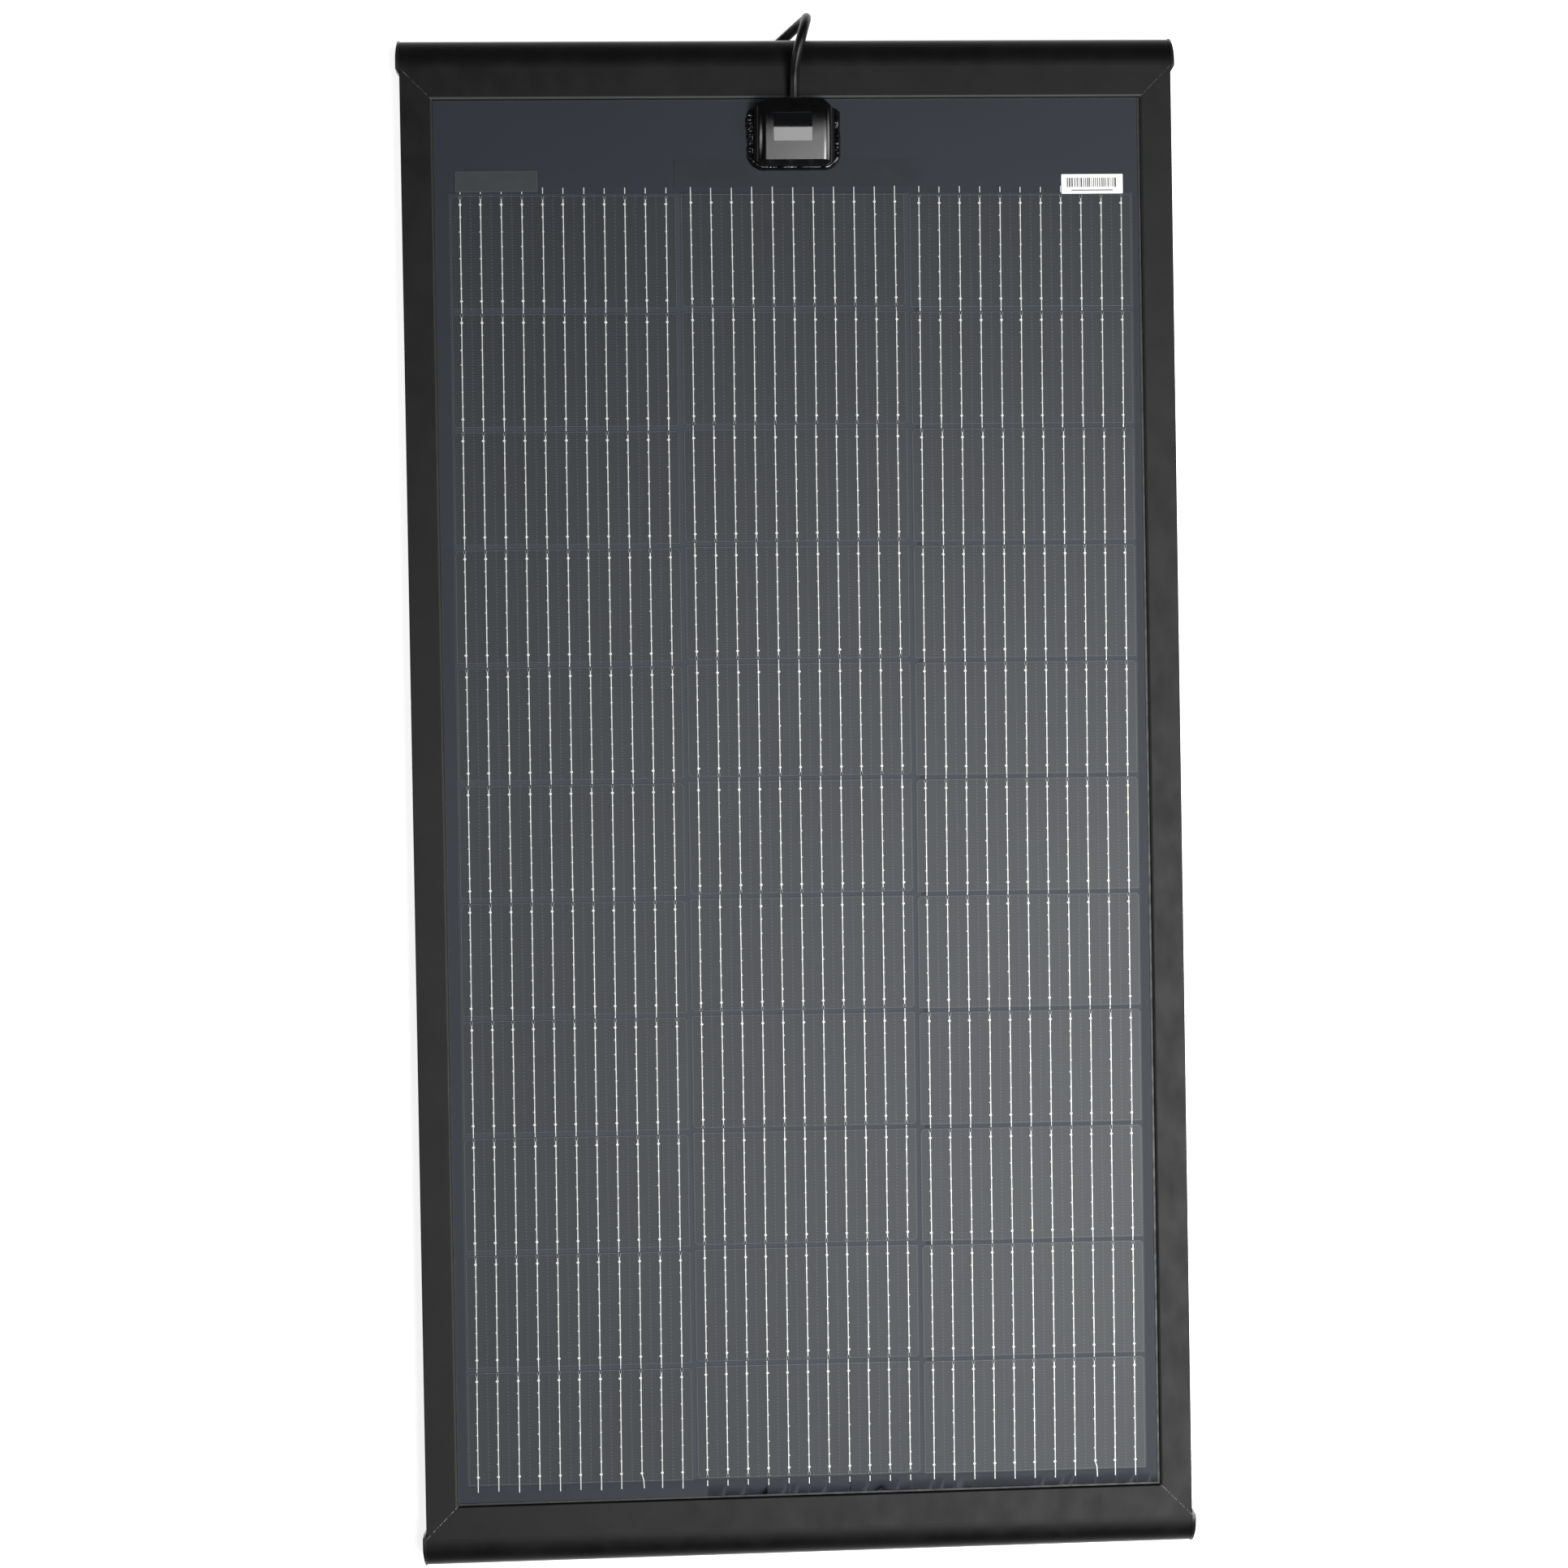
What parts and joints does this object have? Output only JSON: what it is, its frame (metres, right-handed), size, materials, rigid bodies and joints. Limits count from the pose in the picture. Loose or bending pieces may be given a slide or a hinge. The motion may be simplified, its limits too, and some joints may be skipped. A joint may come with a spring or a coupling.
{
  "type": "framed flexible solar panel",
  "caption": "Roof solar panel: thin flexible cell laminate in a matt black aluminium frame with curved end rails, front junction box and coiled cable.",
  "frame": {"origin": "centre of the panel's footprint, on the surface its side rails stand on", "axes": "+Y along the length towards the junction box, +Z out of the cell side, +X to the right seen from the front with the box at the top"},
  "size_m": [0.63, 1.2515, 0.0563],
  "materials": {
    "frame_coating": "matt black coating on extruded aluminium",
    "cap_plastic": "moulded black, fine grain",
    "bare_aluminium": "mill finish",
    "foam_tape": "closed-cell foam tape",
    "black_sealant": "satin black sealant",
    "board_face": "pale backing board",
    "backsheet_black": "matt black sheet",
    "clear_film": "clear, finely embossed film",
    "clear_encapsulant": "clear",
    "silicon_cell": "dark blue-black silicon with fine grid lines",
    "tinned_wire": "bright tinned copper",
    "dark_tape": "dark insulating tape",
    "badge_film": "blank dark patch",
    "white_label": "printed paper label",
    "box_plastic": "satin black moulding",
    "plate_gloss": "polished black",
    "seal_rubber": "black rubber",
    "terminal_brass": "plain",
    "diode_body": "moulded black",
    "glossy_silicone": "glossy, hand-run",
    "screw_steel": "zinc plated",
    "core_grey": "insulated core",
    "cable_jacket": "satin black jacket",
    "tie_strap": "woven hook-and-loop strap",
    "sleeve_shrink": "heat-shrunk sleeve",
    "core_red": "insulated core",
    "core_black": "insulated core",
    "ferrule_tin": "tinned crimp"
  },
  "bodies": {
    "panel": {"backing_board": "board_face", "backsheet": "backsheet_black", "badge_patch": "badge_film", "board_adhesive": "foam_tape", "bus_bars": "tinned_wire", "bus_cover_tape": "dark_tape", "bypass_diode": "diode_body", "cable_clamp": "box_plastic", "cable_coil": "cable_jacket", "cable_grommet": "seal_rubber", "cable_run": "cable_jacket", "cable_tail": "cable_jacket", "cell_string_left": "silicon_cell", "cell_string_middle": "silicon_cell", "cell_string_right": "silicon_cell", "cell_wires_left": "tinned_wire", "cell_wires_middle": "tinned_wire", "cell_wires_right": "tinned_wire", "clamp_screws": "screw_steel", "coil_tie": "tie_strap", "corner_keys": "bare_aluminium", "edge_sealant": "black_sealant", "encapsulant": "clear_encapsulant", "end_cap_bottom_left": "cap_plastic", "end_cap_bottom_right": "cap_plastic", "end_cap_top_left": "cap_plastic", "end_cap_top_right": "cap_plastic", "end_rail_bottom": "frame_coating", "end_rail_top": "frame_coating", "front_film": "clear_film", "inner_cores": "core_grey", "junction_box_base": "box_plastic", "junction_box_lid_seal": "seal_rubber", "junction_box_pad": "foam_tape", "junction_box_terminals": "terminal_brass", "rail_foot_plugs": "cap_plastic", "return_ribbon": "tinned_wire", "seat_tapes": "foam_tape", "serial_label": "white_label", "side_rail_left": "frame_coating", "side_rail_right": "frame_coating", "silicone_bead": "glossy_silicone", "tail_core_black": "core_black", "tail_core_red": "core_red", "tail_ferrules": "ferrule_tin", "tail_sleeve": "sleeve_shrink"},
    "lid": {"junction_box_lid": "box_plastic", "junction_box_plate": "plate_gloss"}
  },
  "joints": [
    {"name": "lid_lift", "type": "slide", "parent": "panel", "child": "lid", "axis": [0, 0, 1], "range_m": [0, 0.03]}
  ]
}
